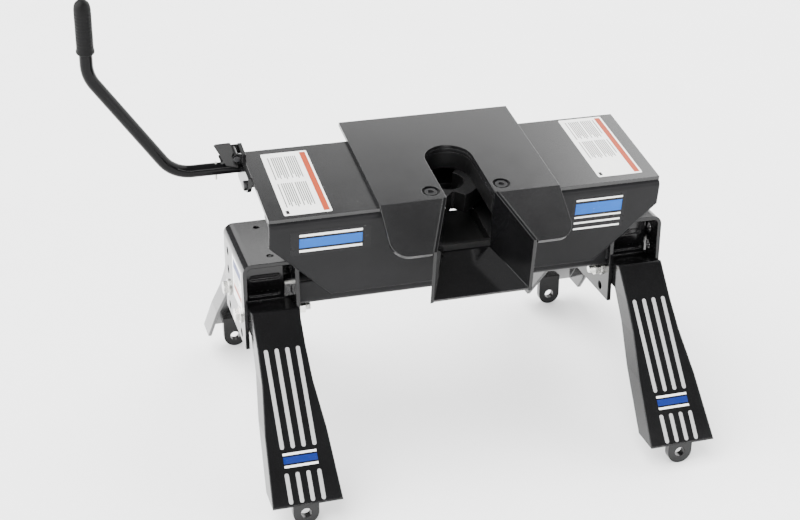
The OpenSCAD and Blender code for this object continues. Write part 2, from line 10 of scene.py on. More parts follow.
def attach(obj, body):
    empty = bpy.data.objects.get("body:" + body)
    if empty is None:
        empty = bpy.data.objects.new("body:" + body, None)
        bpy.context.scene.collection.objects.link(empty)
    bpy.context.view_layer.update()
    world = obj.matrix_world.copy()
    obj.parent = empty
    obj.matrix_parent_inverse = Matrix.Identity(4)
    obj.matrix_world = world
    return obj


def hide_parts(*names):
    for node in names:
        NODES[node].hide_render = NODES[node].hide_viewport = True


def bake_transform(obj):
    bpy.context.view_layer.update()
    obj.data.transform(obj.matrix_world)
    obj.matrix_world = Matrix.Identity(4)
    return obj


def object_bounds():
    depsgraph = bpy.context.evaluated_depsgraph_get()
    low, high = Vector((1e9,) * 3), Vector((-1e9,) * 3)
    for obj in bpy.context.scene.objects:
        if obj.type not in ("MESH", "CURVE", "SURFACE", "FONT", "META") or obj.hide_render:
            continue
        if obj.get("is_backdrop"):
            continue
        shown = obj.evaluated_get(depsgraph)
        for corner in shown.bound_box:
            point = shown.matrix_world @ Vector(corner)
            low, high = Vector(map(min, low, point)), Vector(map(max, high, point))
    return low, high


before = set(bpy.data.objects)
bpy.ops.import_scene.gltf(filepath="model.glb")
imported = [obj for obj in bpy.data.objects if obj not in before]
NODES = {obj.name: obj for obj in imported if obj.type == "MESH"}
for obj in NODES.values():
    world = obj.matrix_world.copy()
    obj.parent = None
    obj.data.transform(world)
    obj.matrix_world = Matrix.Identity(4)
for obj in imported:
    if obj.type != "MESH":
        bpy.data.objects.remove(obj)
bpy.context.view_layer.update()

# Blender works in metres. Outlines, profiles and tube points are written in millimetres.
MM = 0.001
SIDES = {-1: "left", 1: "right"}
ENDS = {-1: "front", 1: "rear"}  # front is the side that faces the camera

# The head's own axes: X right, Y forward along the top plate, Z out of it. Zero is the plate's
# middle, and PLATE_MIDDLE is its place from the pitch axis.
TILT = math.radians(9.35)
PITCH_AXIS = (0, 0, 0.268)
PLATE_MIDDLE = (0, -0.0031, 0.1628)
HEAD = (
    Matrix.Translation(PITCH_AXIS)
    @ Matrix.Rotation(TILT, 4, "X")
    @ Matrix.Translation(PLATE_MIDDLE)
)
WORLD = Matrix.Identity(4)

LEG_SLOPE = math.radians(48.1)
LEG_X, FOOT_Y, FOOT_Z = 0.2925, -0.2945, 0.039


def leg_frame(side):
    """The sloping web of a front leg, side -1 left or 1 right.

    Its origin is the middle of the foot edge, X runs across, Y up the slope and Z outwards.
    """
    up = Vector((0, math.cos(LEG_SLOPE), math.sin(LEG_SLOPE)))
    out = Vector((0, -math.sin(LEG_SLOPE), math.cos(LEG_SLOPE)))
    across = up.cross(out)
    m = Matrix((across, up, out)).transposed().to_4x4()
    m.translation = (side * LEG_X, FOOT_Y, FOOT_Z)
    return m


# ---------------------------------------------------------------- materials


# Sockets of the Mix node in its colour mode, where names are shared between modes.
MIX_FACTOR, MIX_A, MIX_B, MIX_RESULT = 0, 6, 7, 2
# Cosine between the true and the rounded normal: no wear above the first, full wear below the
# second.
EDGE_NONE, EDGE_FULL = 0.985, 0.80
BEVEL_SAMPLES = 6


class Nodes:
    """A short way to write node trees."""

    def __init__(self, name):
        self.mat = bpy.data.materials.new(name)
        self.mat.use_nodes = True
        self.tree = self.mat.node_tree
        self.tree.nodes.clear()
        self.out = self.add("ShaderNodeOutputMaterial")
        self.bsdf = self.add("ShaderNodeBsdfPrincipled")
        self.link(self.bsdf.outputs[0], self.out.inputs[0])
        self.coord = self.add("ShaderNodeTexCoord").outputs["Object"]

    def add(self, kind, **props):
        n = self.tree.nodes.new(kind)
        for k, v in props.items():
            setattr(n, k, v)
        return n

    def link(self, a, b):
        self.tree.links.new(a, b)

    def put(self, socket, value):
        if isinstance(value, bpy.types.NodeSocket):
            self.link(value, socket)
        elif isinstance(value, tuple):
            socket.default_value = (*value, 1)
        else:
            socket.default_value = value

    def noise(self, scale, detail=3.0, rough=0.55, stretch=None):
        """Scale is in features to the metre."""
        n = self.add("ShaderNodeTexNoise")
        co = self.coord
        if stretch:
            m = self.add("ShaderNodeMapping")
            m.inputs["Scale"].default_value = stretch
            self.link(co, m.inputs["Vector"])
            co = m.outputs[0]
        self.link(co, n.inputs["Vector"])
        n.inputs["Scale"].default_value = scale
        n.inputs["Detail"].default_value = detail
        n.inputs["Roughness"].default_value = rough
        return n.outputs["Fac"]

    def voronoi(self, scale):
        n = self.add("ShaderNodeTexVoronoi")
        self.link(self.coord, n.inputs["Vector"])
        n.inputs["Scale"].default_value = scale
        return n.outputs["Distance"]

    def ramp(self, fac, lo, hi, a=0.0, b=1.0):
        """fac from lo to hi becomes a to b, held at the ends."""
        n = self.add("ShaderNodeMapRange", clamp=True)
        self.link(fac, n.inputs["Value"])
        for key, v in (("From Min", lo), ("From Max", hi), ("To Min", a), ("To Max", b)):
            n.inputs[key].default_value = v
        return n.outputs[0]

    def math(self, op, a, b):
        n = self.add("ShaderNodeMath", operation=op)
        self.put(n.inputs[0], a)
        self.put(n.inputs[1], b)
        return n.outputs[0]

    def mix(self, fac, a, b):
        """Colour a where fac is 0, b where it is 1."""
        n = self.add("ShaderNodeMix", data_type="RGBA")
        self.put(n.inputs[MIX_FACTOR], fac)
        self.put(n.inputs[MIX_A], a)
        self.put(n.inputs[MIX_B], b)
        return n.outputs[MIX_RESULT]

    def edges(self, radius):
        """1 on outside edges within the radius, 0 on flats, and the rounded normal."""
        bev = self.add("ShaderNodeBevel", samples=BEVEL_SAMPLES)
        bev.inputs["Radius"].default_value = radius
        geo = self.add("ShaderNodeNewGeometry")
        dot = self.add("ShaderNodeVectorMath", operation="DOT_PRODUCT")
        self.link(bev.outputs[0], dot.inputs[0])
        self.link(geo.outputs["True Normal"], dot.inputs[1])
        return self.ramp(dot.outputs["Value"], EDGE_NONE, EDGE_FULL), bev.outputs[0]

    def bump(self, height, distance, normal=None):
        n = self.add("ShaderNodeBump")
        self.link(height, n.inputs["Height"])
        n.inputs["Distance"].default_value = distance
        if normal:
            self.link(normal, n.inputs["Normal"])
        return n.outputs[0]

    def finish(self, **values):
        for k, v in values.items():
            self.put(self.bsdf.inputs[k.replace("_", " ")], v)
        return self.mat


def lighter(color, gain, lift):
    return tuple(c * gain + lift for c in color)


DUST, DUST_AMOUNT = (0.05, 0.049, 0.047), 0.05
METAL_EDGE, RUBBER_EDGE = 0.0006, 0.001
RUBBER_GRAIN, INK_GRAIN = 0.00006, 0.00001
SCUFFED_INK, INK_FADE, INK_COAT_ROUGHNESS = (0.35, 0.35, 0.34), 0.08, 0.18


def paint(name, color, worn, rough, peel, spread=0.03, edge=0.0012, shine=0.3):
    """Powder coat: orange peel, soft wear along edges, faint rubbed patches and dust."""
    n = Nodes(name)
    mask, rounded = n.edges(edge)
    patch = n.noise(9, 4, 0.6)
    fine = n.noise(240, 4, 0.7)
    wear = n.math("MULTIPLY", mask, n.ramp(fine, 0.42, 0.62))
    wear = n.math("MULTIPLY", wear, 0.5)
    speck = n.ramp(n.noise(1100, 2, 0.5), 0.70, 0.78, 0, DUST_AMOUNT)
    base = n.mix(n.ramp(patch, 0.35, 0.7), color, lighter(color, 1.3, 0.0006))
    base = n.mix(wear, base, worn)
    base = n.mix(speck, base, DUST)
    rubbed = n.ramp(patch, 0.3, 0.7, rough - spread, rough + spread)
    r = n.math("ADD", rubbed, n.math("MULTIPLY", wear, 0.25))
    r = n.math("ADD", r, n.ramp(fine, 0.3, 0.7, -0.02, 0.03))
    height = n.math("ADD", n.noise(520, 2, 0.5), n.math("MULTIPLY", n.noise(1700, 2, 0.6), 0.35))
    return n.finish(
        Base_Color=base,
        Roughness=r,
        Metallic=0.0,
        Normal=n.bump(height, peel, rounded),
        Specular_IOR_Level=shine,
    )


def metal(name, color, dark, rough, grain=(1, 1, 14), grit=0.00003, stain=0.35):
    """Bare or plated steel with brushing, stains in a cloudy pattern and brighter edges."""
    n = Nodes(name)
    mask, rounded = n.edges(METAL_EDGE)
    brush = n.noise(420, 4, 0.65, stretch=grain)
    cloud = n.noise(55, 4, 0.6)
    bright = tuple(min(1, c) for c in lighter(color, 1.3, 0.05))
    base = n.mix(n.ramp(cloud, 0.35, 0.72, 0, stain), color, dark)
    base = n.mix(n.math("MULTIPLY", mask, 0.55), base, bright)
    brushed = n.ramp(brush, 0.25, 0.75, rough - 0.08, rough + 0.1)
    return n.finish(
        Base_Color=base,
        Roughness=n.math("ADD", brushed, n.ramp(cloud, 0.3, 0.7, -0.04, 0.08)),
        Metallic=1.0,
        Normal=n.bump(n.math("ADD", brush, n.noise(1500, 2)), grit, rounded),
    )


def rubber(name, color, rough, shine):
    """Moulded rubber: fine pores, cloudy tone and paler rubbed edges."""
    n = Nodes(name)
    mask, rounded = n.edges(RUBBER_EDGE)
    cloud = n.noise(60, 5, 0.6)
    pores = n.voronoi(900)
    base = n.mix(n.ramp(cloud, 0.3, 0.75), color, lighter(color, 1.6, 0.002))
    base = n.mix(n.math("MULTIPLY", mask, 0.4), base, lighter(color, 2.2, 0.006))
    return n.finish(
        Base_Color=base,
        Roughness=n.ramp(cloud, 0.3, 0.7, rough - 0.07, rough + 0.12),
        Normal=n.bump(n.math("ADD", pores, n.noise(500, 3)), RUBBER_GRAIN, rounded),
        Specular_IOR_Level=shine,
    )


def ink(name, color, rough, shine=0.5, coat=0.25):
    """Printed vinyl: slight gloss, faint mottling and scuffs."""
    n = Nodes(name)
    cloud = n.noise(45, 5, 0.65)
    scuff = n.ramp(n.noise(160, 4, 0.7, stretch=(1, 6, 1)), 0.62, 0.75)
    base = n.mix(n.ramp(cloud, 0.3, 0.7), color, lighter(color, 1 - INK_FADE, 0))
    base = n.mix(n.math("MULTIPLY", scuff, 0.12), base, SCUFFED_INK)
    return n.finish(
        Base_Color=base,
        Roughness=n.ramp(cloud, 0.3, 0.7, rough - 0.06, rough + 0.08),
        Normal=n.bump(n.noise(900, 2), INK_GRAIN),
        Coat_Weight=coat,
        Coat_Roughness=INK_COAT_ROUGHNESS,
        Specular_IOR_Level=shine,
    )


def matt_ink(name, color, rough, shine=0.2):
    """Print with no clear film over it, for the dark and the strong colours."""
    return ink(name, color, rough, shine, coat=0.0)


BLACK = (0.0022, 0.0022, 0.0024)
SATIN_BLACK = (0.0045, 0.0045, 0.0047)
SATIN_GREY, WORN_GREY = (0.006, 0.006, 0.0064), (0.03, 0.03, 0.03)
# A darker copy of the satin black: painted shade for the parts inside the throat.
PAINTED_SHADE_BLACK = (0.003, 0.003, 0.003)
SCUFF = (0.016, 0.016, 0.016)
WHITE = (0.80, 0.80, 0.78)

GLOSS = paint("gloss_black_powder", BLACK, SCUFF, 0.12, 0.000008)
ROD = paint("gloss_black_rod", BLACK, SCUFF, 0.10, 0.000006, spread=0.02, shine=0.1)
LEG = paint("gloss_black_leg", BLACK, SCUFF, 0.15, 0.00001, edge=0.003, shine=0.32)
BRACKET = paint("gloss_black_bracket", BLACK, SCUFF, 0.13, 0.00001, edge=0.002)
SATIN = paint(
    "satin_black_powder", SATIN_BLACK, SCUFF, 0.22, 0.000005, edge=0.0009, shine=0.45
)
APRON = paint("satin_grey_coat", SATIN_GREY, WORN_GREY, 0.33, 0.000012, edge=0.004, shine=0.1)
# Satin black made darker and duller: painted shade on the throat's inner parts.
SHADE = paint(
    "satin_black_painted_shade", PAINTED_SHADE_BLACK, SCUFF, 0.42, 0.000012, spread=0.04, edge=0.0009, shine=0.2
)
ZINC = metal("bright_zinc", (0.76, 0.76, 0.73), (0.42, 0.41, 0.36), 0.24, stain=0.4)
DARK_BOLT = metal("blackened_steel", (0.05, 0.05, 0.052), (0.02, 0.02, 0.02), 0.34)
PIN = metal("ground_steel", (0.50, 0.50, 0.51), (0.22, 0.21, 0.20), 0.26, grain=(14, 1, 1))
# Dark forged steel, made darker still as painted shade for the parts in the throat and under the
# head.
FORGED_PAINTED_SHADE = metal(
    "forged_steel", (0.032, 0.032, 0.033), (0.014, 0.013, 0.012), 0.46,
    grain=(2, 2, 2), grit=0.00012,
)
BRONZE = metal("plain_bronze", (0.55, 0.36, 0.15), (0.2, 0.12, 0.06), 0.3)
RUBBER = rubber("black_rubber", (0.012, 0.012, 0.012), 0.55, shine=0.25)
GRIP = rubber("grey_grip_rubber", (0.0012, 0.0012, 0.0013), 0.5, shine=0.1)
SILVER_INK = ink("silver_ink", (0.30, 0.30, 0.30), 0.34)
WHITE_INK = ink("white_ink", WHITE, 0.34)
PAPER = ink("label_white", WHITE, 0.42)
GREY_INK = ink("label_grey", (0.03, 0.03, 0.03), 0.42)
DARK_INK = matt_ink("label_black", (0.009, 0.009, 0.0095), 0.3, shine=0.1)
BLUE_INK = matt_ink("blue_ink", (0.0, 0.011, 0.11), 0.34)
PALE_BLUE_INK = matt_ink("pale_blue_ink", (0.0, 0.075, 0.33), 0.34)
ORANGE_INK = matt_ink("orange_ink", (0.30, 0.036, 0.007), 0.36)

FINISH = {
    GLOSS: [
        "front_rail_tabs", "rear_rail_tabs", "funnel", "pull_rod", "latch_flag",
        "latch_thumb_plate", "latch_ears", "guide_plate",
    ],
    LEG: ["left_front_leg", "left_rear_leg", "right_front_leg", "right_rear_leg"],
    BRACKET: ["left_bracket", "right_bracket"],
    SATIN: ["top_plate", "skid_plate", "head_ribs", "spring_anchor"],
    APRON: ["front_apron", "rear_apron", "cross_member"],
    # Inner parts of the throat, in the painted-shade black.
    SHADE: ["pivot_ears", "throat_floor", "throat_strap"],
    ZINC: [
        "pitch_pin_clips", "leg_bolts", "leg_nuts", "leg_washers", "jaw_pin_nuts", "tie_nuts",
        "roll_washers", "rod_cotter", "return_spring",
    ],
    DARK_BOLT: ["guide_bolts", "latch_pin"],
    PIN: ["pitch_pin", "roll_pin", "jaw_pins"],
    # Parts in the throat and under the head, in forged steel darkened as painted shade.
    FORGED_PAINTED_SHADE: [
        "rocker", "upper_yoke", "lower_jaw_plate", "tie_spacers", "tie_bolts", "left_jaw",
        "right_jaw", "lock_bar", "rod_link",
    ],
    BRONZE: ["rocker_bushes"],
    RUBBER: ["pitch_bumpers", "roll_cushions"],
    GRIP: ["handle_grip"],
}
for material, names in FINISH.items():
    for node_name in names:
        for s in NODES[node_name].material_slots:
            s.material = material


# ---------------------------------------------------------------- mesh helpers


# Edges that turn by more than this many degrees stay sharp, by kind of piece.
MACHINED, MOULDED, BEAD = 30, 40, 60


def piece(name, bm, material, body, place=WORLD, smooth=None):
    """An object from bm, moved by place and riding on body, flat shaded unless smooth is given."""
    mesh = bpy.data.meshes.new(name)
    bmesh.ops.recalc_face_normals(bm, faces=bm.faces)
    bm.to_mesh(mesh)
    bm.free()
    mesh.transform(place)
    obj = bpy.data.objects.new(name, mesh)
    bpy.context.scene.collection.objects.link(obj)
    mesh.materials.append(material)
    if smooth is not None:
        mesh.shade_smooth()
        mesh.set_sharp_from_angle(angle=math.radians(smooth))
    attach(obj, body)
    return obj


def sheet_plate(bm, outline, z0, z1):
    """A plate with that outline (x, y in mm) between z0 and z1, in mm."""
    low = [bm.verts.new((x * MM, y * MM, z0 * MM)) for x, y in outline]
    top = [bm.verts.new((x * MM, y * MM, z1 * MM)) for x, y in outline]
    bm.faces.new(low[::-1])
    bm.faces.new(top)
    for i in range(len(low)):
        j = (i + 1) % len(low)
        bm.faces.new((low[i], low[j], top[j], top[i]))


CORNER_STEPS = 5
# Heights of print above the steel, in mm: straight on it, and on top of a label or badge.
ON_STEEL, ON_LABEL = 0.1, 0.22
LABEL_THICK, PRINT_THICK, BAND_THICK = 0.1, 0.05, 0.06


def rounded(x0, x1, y0, y1, r):
    """Outline of a rectangle with corners of radius r, in mm."""
    corners = (
        (x1 - r, y1 - r, 0), (x0 + r, y1 - r, 90), (x0 + r, y0 + r, 180), (x1 - r, y0 + r, 270)
    )
    pts = []
    for cx, cy, a in corners:
        for k in range(CORNER_STEPS + 1):
            t = math.radians(a + 90 * k / CORNER_STEPS)
            pts.append((cx + r * math.cos(t), cy + r * math.sin(t)))
    return pts


def bar(x0, x1, y0, y1):
    return [(x0, y0), (x1, y0), (x1, y1), (x0, y1)]


def decal(name, outlines, material, body, place, level=ON_STEEL, thick=LABEL_THICK):
    """Thin printed shapes, from level above the plane of place to level + thick, in mm."""
    bm = bmesh.new()
    for o in outlines:
        sheet_plate(bm, o, level, level + thick)
    return piece(name, bm, material, body, place)


def printed(name, outlines, material, body, place):
    return decal(name, outlines, material, body, place, ON_LABEL, PRINT_THICK)


AXIS_R = 1e-6  # a ring smaller than this is a single point on the axis


def on_circle(place, r, z, k, steps):
    """Point k of steps on a circle of radius r at height z, in mm, moved by place."""
    t = 2 * math.pi * k / steps
    return place @ Vector((r * MM * math.cos(t), r * MM * math.sin(t), z * MM))


def lathe(bm, profile, steps, place=WORLD):
    """Turns (radius, height) pairs in mm round Z."""
    rings = []
    for r, z in profile:
        count = 1 if r <= AXIS_R else steps
        rings.append([bm.verts.new(on_circle(place, r, z, k, steps)) for k in range(count)])
    for a, b in zip(rings, rings[1:]):
        for k in range(steps):
            j = (k + 1) % steps
            quad = []
            for v in (a[k % len(a)], a[j % len(a)], b[j % len(b)], b[k % len(b)]):
                if v not in quad:
                    quad.append(v)
            if len(quad) > 2:
                bm.faces.new(quad)


HEX_STEPS = 48
HEX_FACE = 0.96  # the flat end face, as a share of the width across flats
HEX_CHAMFER = math.radians(30)
BORE_CHAMFER = 0.8


def hex_solid(bm, flats, z0, z1, place, bore=0.0, chamfer_low=False):
    """Hexagon with chamfered corners, and a bore if it is a nut."""
    inner = flats / 2 * HEX_FACE

    def radius(k):
        a = math.degrees(2 * math.pi * k / HEX_STEPS) % 60 - 30
        return flats / 2 / math.cos(math.radians(a))

    def ring(fn):
        return [bm.verts.new(on_circle(place, *fn(k), k, HEX_STEPS)) for k in range(HEX_STEPS)]

    drop = math.tan(HEX_CHAMFER)
    rings = []
    if chamfer_low:
        rings.append(ring(lambda k: (inner, z0)))
        rings.append(ring(lambda k: (radius(k), z0 + (radius(k) - inner) * drop)))
    else:
        rings.append(ring(lambda k: (radius(k), z0)))
    rings.append(ring(lambda k: (radius(k), z1 - (radius(k) - inner) * drop)))
    rings.append(ring(lambda k: (inner, z1)))
    if bore:
        rings.append(ring(lambda k: (bore + BORE_CHAMFER, z1)))
        rings.append(ring(lambda k: (bore, z1 - BORE_CHAMFER)))
        rings.append(ring(lambda k: (bore, z0)))
        rings.append(rings[0])
    for a, b in zip(rings, rings[1:]):
        for k in range(HEX_STEPS):
            j = (k + 1) % HEX_STEPS
            bm.faces.new((a[k], a[j], b[j], b[k]))
    if not bore:
        bm.faces.new(rings[0][::-1])
        bm.faces.new(rings[-1])


def threads(r, z0, z1, pitch, depth):
    """Profile of a threaded length with a chamfered tip at z1."""
    pts, z = [], z0
    while z < z1 - pitch:
        pts += [(r - depth, z), (r, z + pitch * 0.5)]
        z += pitch
    return pts + [(r - depth, z), (r - depth - 0.6, z1), (0, z1)]


def along(start, direction):
    """Matrix whose Z runs in that direction from that point, in metres."""
    q = Vector(direction).to_track_quat("Z", "Y")
    return Matrix.Translation(start) @ q.to_matrix().to_4x4()


def tube(name, points, r, material, resolution):
    """Round bar along points of the head, in mm, as a mesh that rides on nothing yet."""
    curve = bpy.data.curves.new(name, "CURVE")
    curve.dimensions = "3D"
    curve.bevel_depth = r * MM
    curve.bevel_resolution = resolution
    curve.use_fill_caps = True
    sp = curve.splines.new("POLY")
    sp.points.add(len(points) - 1)
    for p, q in zip(sp.points, points):
        p.co = (*(HEAD @ Vector([c * MM for c in q])), 1)
    tmp = bpy.data.objects.new(name, curve)
    bpy.context.scene.collection.objects.link(tmp)
    mesh = bpy.data.meshes.new_from_object(tmp)
    bpy.data.objects.remove(tmp)
    mesh.name = name
    obj = bpy.data.objects.new(name, mesh)
    bpy.context.scene.collection.objects.link(obj)
    mesh.materials.clear()
    mesh.materials.append(material)
    mesh.shade_smooth()
    mesh.set_sharp_from_angle(angle=math.radians(MOULDED))
    return obj


# ---------------------------------------------------------------- pull rod and grip

# In mm, on the head's axes: the rod runs left from ROD_START_X, leans up at its first bend and
# stands upright after its second, at BEND2_X.
ROD_Y, ROD_Z, ROD_R = 84.0, -16.0, 9.5
ROD_START_X, ROD_TOP_Z = -137, 265
BEND1_X, BEND2_X, BEND2_Z = -409.0, -525.0, 159.4
BEND1_R, BEND2_R, BEND_STEPS = 52, 60, 14
LEAN = math.atan2(BEND2_Z - ROD_Z, BEND1_X - BEND2_X)
TANGENT1 = BEND1_R * math.tan(LEAN / 2)
TANGENT2 = BEND2_R * math.tan((math.pi / 2 - LEAN) / 2)
DOWN = math.radians(270)


def bend(cx, cz, r, a0, a1):
    """Points of an arc about (cx, cz), from angle a0 to a1."""
    angles = [a0 + (a1 - a0) * k / BEND_STEPS for k in range(BEND_STEPS + 1)]
    return [(cx + r * math.cos(a), ROD_Y, cz + r * math.sin(a)) for a in angles]


rod_points = [(ROD_START_X, ROD_Y, ROD_Z)]
rod_points += bend(BEND1_X + TANGENT1, ROD_Z + BEND1_R, BEND1_R, DOWN, DOWN - LEAN)
rod_points += bend(BEND2_X + BEND2_R, BEND2_Z + TANGENT2, BEND2_R, DOWN - LEAN, math.pi)
rod_points += [(BEND2_X, ROD_Y, ROD_TOP_Z)]
rod = tube("pull_rod_bar", rod_points, ROD_R, ROD, resolution=10)
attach(rod, "handle")
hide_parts("pull_rod")

# The grip: a lip, eleven ribs five apart, and a domed end, as (radius, height).
GRIP_R, GROOVE_R = 12.2, 11.95
GRIP_LIP = [(9.6, 196.2), (12.6, 196.2), (13.1, 197.2), (13.2, 199.2), (12.8, 201.4), (12.2, 203.4)]
GRIP_DOME = [
    (12.2, 261), (12.0, 264), (11.4, 268), (10.4, 271), (9.0, 273.3), (7.0, 275.2), (4.6, 276.6),
    (2.2, 277.2), (0, 277.3),
]
grip_profile = list(GRIP_LIP)
for k in range(11):
    z = 205.0 + k * 5.0
    grip_profile += [(GRIP_R, z), (GRIP_R, z + 3.4), (GROOVE_R, z + 4.0), (GROOVE_R, z + 4.4)]
bm = bmesh.new()
lathe(bm, grip_profile + GRIP_DOME, 48)
on_rod = HEAD @ Matrix.Translation((BEND2_X * MM, ROD_Y * MM, 0))
grip = piece("grip_sleeve", bm, GRIP, "handle", on_rod, smooth=MOULDED)
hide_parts("handle_grip")

# ---------------------------------------------------------------- fasteners

# Leg bolts: their places are in metres, the rest in mm.
BOLT_HEAD_X, BOLT_NUT_X, BOLT_Y, BOLT_Z = 0.3375, 0.2475, 0.048, 0.229
BOLT_FLATS, BOLT_HEAD, NUT_HEIGHT, NUT_BORE = 19, 8.0, 11.0, 6.4
SHANK_R, SHANK_END, BOLT_END = 6.35, 84, 109.4
THREAD_R, THREAD_PITCH, THREAD_DEPTH = 6.3, 1.95, 0.75
HEX_TURN = Matrix.Rotation(math.radians(30), 4, "Z")
SHANK = [(0, 0), (SHANK_R, 0), (SHANK_R, SHANK_END)]
SHANK += threads(THREAD_R, SHANK_END, BOLT_END, THREAD_PITCH, THREAD_DEPTH)

bm = bmesh.new()
nuts = bmesh.new()
for side in SIDES:
    for end in ENDS:
        outer = (side * BOLT_HEAD_X, end * BOLT_Y, BOLT_Z)
        inner = (side * BOLT_NUT_X, end * BOLT_Y, BOLT_Z)
        hex_solid(bm, BOLT_FLATS, 0.0, BOLT_HEAD, along(outer, (side, 0, 0)) @ HEX_TURN)
        lathe(bm, SHANK, 28, along(outer, (-side, 0, 0)))
        hex_solid(
            nuts, BOLT_FLATS, 0.0, NUT_HEIGHT, along(inner, (-side, 0, 0)) @ HEX_TURN,
            bore=NUT_BORE, chamfer_low=True,
        )
bolts = piece("leg_bolt_set", bm, ZINC, "base", smooth=MACHINED)
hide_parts("leg_bolts")
nut_set = piece("leg_nut_set", nuts, ZINC, "base", smooth=MACHINED)
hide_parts("leg_nuts")

# The guide plate's two bolts: (y, z) in mm, and the x of the face they sit on in metres.
GUIDE_BOLTS, GUIDE_FACE_X = ((34, -20), (104, -24)), -0.308
GUIDE_FLATS, GUIDE_HEAD, GUIDE_R, GUIDE_LENGTH = 13, 5.0, 3.9, 12
bm = bmesh.new()
for y, z in GUIDE_BOLTS:
    at = (GUIDE_FACE_X, y * MM, z * MM)
    hex_solid(bm, GUIDE_FLATS, 0.0, GUIDE_HEAD, HEAD @ along(at, (-1, 0, 0)))
    shank = [(0, 0), (GUIDE_R, 0), (GUIDE_R, GUIDE_LENGTH), (0, GUIDE_LENGTH)]
    lathe(bm, shank, 20, HEAD @ along(at, (1, 0, 0)))
small = piece("guide_bolt_set", bm, DARK_BOLT, "head", smooth=MACHINED)
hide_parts("guide_bolts")

# Return spring between the lock bar's eye and its anchor, with a hook at each end, in mm.
COIL_X0, COIL_X1, COIL_Y, COIL_Z, COIL_R, WIRE_R = 103.0, 160.0, 73, -71, 6.2, 1.2
COIL_TURNS, TURN_STEPS = 11, 20
coil = []
for k in range(COIL_TURNS * TURN_STEPS + 1):
    turn = 2 * math.pi * (k / TURN_STEPS)
    x = COIL_X0 + (COIL_X1 - COIL_X0) * k / (COIL_TURNS * TURN_STEPS)
    coil.append((x, COIL_Y + COIL_R * math.cos(turn), COIL_Z + COIL_R * math.sin(turn)))
EYE_HOOK = [(95.5, 73, -67.2), (95.9, 73.0, -64.6), (98.5, 74.5, -64.4), (101.0, 77.5, -67.5)]
ANCHOR_HOOK = [(162.6, 77.5, -67.6), (165.5, 75.0, -64.4), (168.1, 73.2, -64.5), (168.5, 73, -67.2)]
spring = tube("return_spring_coil", EYE_HOOK + coil + ANCHOR_HOOK, WIRE_R, ZINC, resolution=3)
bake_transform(spring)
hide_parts("return_spring")

# ---------------------------------------------------------------- welds


BEAD_STEP, RIPPLE, RIPPLE_HEIGHT, BEAD_END, BEAD_SIDES = 1.1, 3.3, 0.13, 0.55, 8


def weld(name, a, b, r, body, material, place=WORLD, normal=(0, 0, 1)):
    """A rippled bead from a to b, in mm."""
    a, b = Vector(a), Vector(b)
    d = b - a
    length = d.length
    n = max(6, int(length / BEAD_STEP))
    side = d.normalized().cross(Vector(normal)).normalized()
    up = side.cross(d.normalized()).normalized()
    bm = bmesh.new()
    rings = []
    for k in range(n + 1):
        t = k / n
        swell = 1 + RIPPLE_HEIGHT * math.sin(2 * math.pi * t * length / RIPPLE)
        swell *= BEAD_END if k in (0, n) else 1.0
        ring = []
        for j in range(BEAD_SIDES):
            w = 2 * math.pi * j / BEAD_SIDES
            p = a + d * t + (side * math.cos(w) + up * math.sin(w)) * r * swell
            ring.append(bm.verts.new(p * MM))
        rings.append(ring)
    for p, q in zip(rings, rings[1:]):
        for j in range(BEAD_SIDES):
            m = (j + 1) % BEAD_SIDES
            bm.faces.new((p[j], p[m], q[m], q[j]))
    bm.faces.new(rings[0][::-1])
    bm.faces.new(rings[-1])
    return piece(name, bm, material, body, place, smooth=BEAD)


TAB_BEAD, BEAM_BEAD, FUNNEL_BEAD = 2.4, 2.6, 2.3
TAB_X, TAB_HALF, TAB_WELD_Y, TAB_WELD_Z = 293.8, 17, 285.0, 41.0
BEAM_END_X, BEAM_WELD_Y, BEAM_WELD_Z = 250, 68.0, (254, 279)
FUNNEL_WELD_X, FUNNEL_WELD_Y, FUNNEL_WELD_Z = 45.4, -103.2, (-92, -6)
for side, tag in SIDES.items():
    for end, which in ENDS.items():
        x, y = side * TAB_X, end * TAB_WELD_Y
        low, high = (x - TAB_HALF, y, TAB_WELD_Z), (x + TAB_HALF, y, TAB_WELD_Z)
        weld(f"tab_weld_{tag}_{which}", low, high, TAB_BEAD, "base", LEG)
        x, y = side * BEAM_END_X, end * BEAM_WELD_Y
        low, high = ((x, y, z) for z in BEAM_WELD_Z)
        weld(f"beam_weld_{tag}_{which}", low, high, BEAM_BEAD, "base", APRON, normal=(side, 0, 0))
    low, high = ((side * FUNNEL_WELD_X, FUNNEL_WELD_Y, z) for z in FUNNEL_WELD_Z)
    weld(f"funnel_weld_{tag}", low, high, FUNNEL_BEAD, "head", APRON, HEAD, normal=(0, -1, 0))

# ---------------------------------------------------------------- graphics on the legs

LEG_LEVEL = 0.16  # height of the print above the leg, in mm
STRIPE_CENTRES, STRIPE_HALF, STRIPE_CORNER = (-24, -8, 8, 24), 3, 2.9
STRIPE_SPANS = ((84, 233), (4.4, 49))
BAND_HALF = 25
for side, tag in SIDES.items():
    tag += "_front"
    place = leg_frame(side)
    stripes = [
        rounded(c - STRIPE_HALF, c + STRIPE_HALF, y0, y1, STRIPE_CORNER)
        for c in STRIPE_CENTRES for y0, y1 in STRIPE_SPANS
    ]
    rules = [bar(-BAND_HALF, BAND_HALF, y0, y1) for y0, y1 in ((74.6, 78.0), (56.6, 60.0))]
    band = [bar(-BAND_HALF, BAND_HALF, 62.4, 72.2)]
    decal(f"{tag}_stripes", stripes, SILVER_INK, "base", place, LEG_LEVEL)
    decal(f"{tag}_rules", rules, WHITE_INK, "base", place, LEG_LEVEL)
    decal(f"{tag}_band", band, BLUE_INK, "base", place, LEG_LEVEL)

# ---------------------------------------------------------------- labels on the head

# The front apron's outer face: X right, Y up it and Z towards the camera.
FRONT = HEAD @ Matrix(((1, 0, 0, 0), (0, 0, -1, -0.103), (0, 1, 0, 0), (0, 0, 0, 1)))
